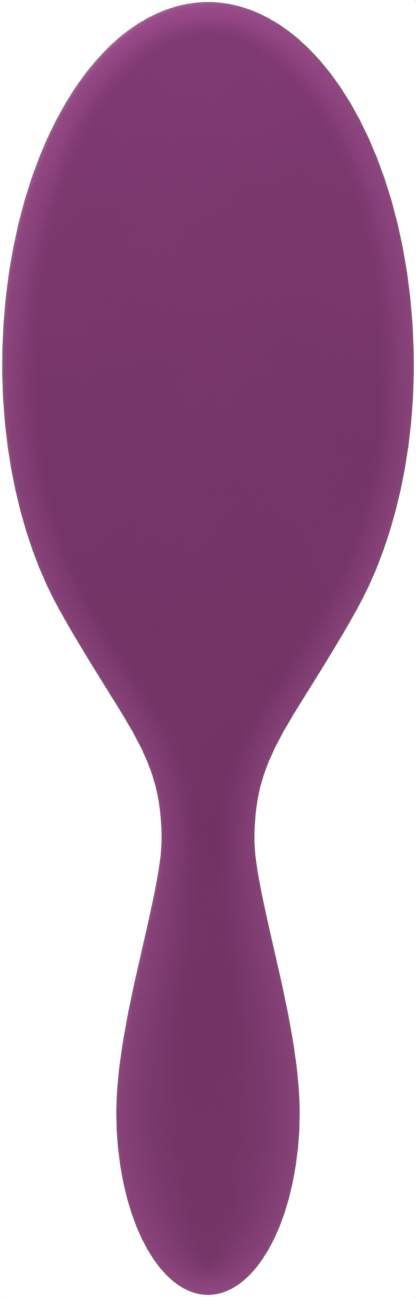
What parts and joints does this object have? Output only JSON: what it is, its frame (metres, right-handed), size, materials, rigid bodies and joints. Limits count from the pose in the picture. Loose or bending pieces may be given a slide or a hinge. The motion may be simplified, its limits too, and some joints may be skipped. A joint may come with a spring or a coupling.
{
  "type": "detangling brush",
  "caption": "Oval-headed detangling hair brush: a rubber cushion of flexible ball-tipped bristles in a two-shell body with a waisted neck and a bulb handle.",
  "frame": {"origin": "under the middle of the brush, in the plane of its flat back, on which it lies", "axes": "+Y along the brush towards the head's tip, +Z out of the bristle side, X across the head"},
  "size_m": [0.0716, 0.225, 0.0371],
  "materials": {
    "soft_touch": "purple rubberised soft-touch coat on moulded ABS",
    "cushion_rubber": "matte moulded rubber, dyed deep purple",
    "bristle_nylon": "drawn nylon, satin",
    "tip_resin": "dipped resin, glossy"
  },
  "bodies": {
    "shells": {"back_shell": "soft_touch", "front_shell": "soft_touch"},
    "cushion": {"cushion": "cushion_rubber"},
    "row_01": {"bristles_row_01": "bristle_nylon", "tips_row_01": "tip_resin"},
    "row_02": {"bristles_row_02": "bristle_nylon", "tips_row_02": "tip_resin"},
    "row_03": {"bristles_row_03": "bristle_nylon", "tips_row_03": "tip_resin"},
    "row_04": {"bristles_row_04": "bristle_nylon", "tips_row_04": "tip_resin"},
    "row_05": {"bristles_row_05": "bristle_nylon", "tips_row_05": "tip_resin"},
    "row_06": {"bristles_row_06": "bristle_nylon", "tips_row_06": "tip_resin"},
    "row_07": {"bristles_row_07": "bristle_nylon", "tips_row_07": "tip_resin"},
    "row_08": {"bristles_row_08": "bristle_nylon", "tips_row_08": "tip_resin"},
    "row_09": {"bristles_row_09": "bristle_nylon", "tips_row_09": "tip_resin"},
    "row_10": {"bristles_row_10": "bristle_nylon", "tips_row_10": "tip_resin"},
    "row_11": {"bristles_row_11": "bristle_nylon", "tips_row_11": "tip_resin"},
    "row_12": {"bristles_row_12": "bristle_nylon", "tips_row_12": "tip_resin"},
    "row_13": {"bristles_row_13": "bristle_nylon", "tips_row_13": "tip_resin"},
    "row_14": {"bristles_row_14": "bristle_nylon", "tips_row_14": "tip_resin"},
    "row_15": {"bristles_row_15": "bristle_nylon", "tips_row_15": "tip_resin"},
    "row_16": {"bristles_row_16": "bristle_nylon", "tips_row_16": "tip_resin"},
    "row_17": {"bristles_row_17": "bristle_nylon", "tips_row_17": "tip_resin"}
  },
  "joints": [
    {"name": "cushion_press", "type": "slide", "parent": "shells", "child": "cushion", "axis": [0, 0, -1], "range_m": [0, 0.004], "stiffness_N_per_m": 2500, "deforming": ["cushion"]},
    {"name": "row_01_rock", "type": "hinge", "parent": "cushion", "child": "row_01", "pos_m": [0, 0.0973, 0.01416], "axis": [1, 0, 0], "range_deg": [-15, 15], "stiffness_Nm_per_rad": 0.009},
    {"name": "row_02_rock", "type": "hinge", "parent": "cushion", "child": "row_02", "pos_m": [0, 0.0913, 0.01496], "axis": [1, 0, 0], "range_deg": [-15, 15], "stiffness_Nm_per_rad": 0.012},
    {"name": "row_03_rock", "type": "hinge", "parent": "cushion", "child": "row_03", "pos_m": [0, 0.0853, 0.01546], "axis": [1, 0, 0], "range_deg": [-15, 15], "stiffness_Nm_per_rad": 0.015},
    {"name": "row_04_rock", "type": "hinge", "parent": "cushion", "child": "row_04", "pos_m": [0, 0.0793, 0.01579], "axis": [1, 0, 0], "range_deg": [-15, 15], "stiffness_Nm_per_rad": 0.018},
    {"name": "row_05_rock", "type": "hinge", "parent": "cushion", "child": "row_05", "pos_m": [0, 0.0733, 0.01599], "axis": [1, 0, 0], "range_deg": [-15, 15], "stiffness_Nm_per_rad": 0.021},
    {"name": "row_06_rock", "type": "hinge", "parent": "cushion", "child": "row_06", "pos_m": [0, 0.0673, 0.01606], "axis": [1, 0, 0], "range_deg": [-15, 15], "stiffness_Nm_per_rad": 0.024},
    {"name": "row_07_rock", "type": "hinge", "parent": "cushion", "child": "row_07", "pos_m": [0, 0.0613, 0.01602], "axis": [1, 0, 0], "range_deg": [-15, 15], "stiffness_Nm_per_rad": 0.027},
    {"name": "row_08_rock", "type": "hinge", "parent": "cushion", "child": "row_08", "pos_m": [0, 0.0553, 0.01638], "axis": [1, 0, 0], "range_deg": [-15, 15], "stiffness_Nm_per_rad": 0.024},
    {"name": "row_09_rock", "type": "hinge", "parent": "cushion", "child": "row_09", "pos_m": [0, 0.0493, 0.01618], "axis": [1, 0, 0], "range_deg": [-15, 15], "stiffness_Nm_per_rad": 0.027},
    {"name": "row_10_rock", "type": "hinge", "parent": "cushion", "child": "row_10", "pos_m": [0, 0.0433, 0.01638], "axis": [1, 0, 0], "range_deg": [-15, 15], "stiffness_Nm_per_rad": 0.024},
    {"name": "row_11_rock", "type": "hinge", "parent": "cushion", "child": "row_11", "pos_m": [0, 0.0373, 0.01602], "axis": [1, 0, 0], "range_deg": [-15, 15], "stiffness_Nm_per_rad": 0.027},
    {"name": "row_12_rock", "type": "hinge", "parent": "cushion", "child": "row_12", "pos_m": [0, 0.0313, 0.01606], "axis": [1, 0, 0], "range_deg": [-15, 15], "stiffness_Nm_per_rad": 0.024},
    {"name": "row_13_rock", "type": "hinge", "parent": "cushion", "child": "row_13", "pos_m": [0, 0.0253, 0.01599], "axis": [1, 0, 0], "range_deg": [-15, 15], "stiffness_Nm_per_rad": 0.021},
    {"name": "row_14_rock", "type": "hinge", "parent": "cushion", "child": "row_14", "pos_m": [0, 0.0193, 0.01579], "axis": [1, 0, 0], "range_deg": [-15, 15], "stiffness_Nm_per_rad": 0.018},
    {"name": "row_15_rock", "type": "hinge", "parent": "cushion", "child": "row_15", "pos_m": [0, 0.0133, 0.01546], "axis": [1, 0, 0], "range_deg": [-15, 15], "stiffness_Nm_per_rad": 0.015},
    {"name": "row_16_rock", "type": "hinge", "parent": "cushion", "child": "row_16", "pos_m": [0, 0.0073, 0.01496], "axis": [1, 0, 0], "range_deg": [-15, 15], "stiffness_Nm_per_rad": 0.012},
    {"name": "row_17_rock", "type": "hinge", "parent": "cushion", "child": "row_17", "pos_m": [0, 0.0013, 0.01416], "axis": [1, 0, 0], "range_deg": [-15, 15], "stiffness_Nm_per_rad": 0.009}
  ]
}
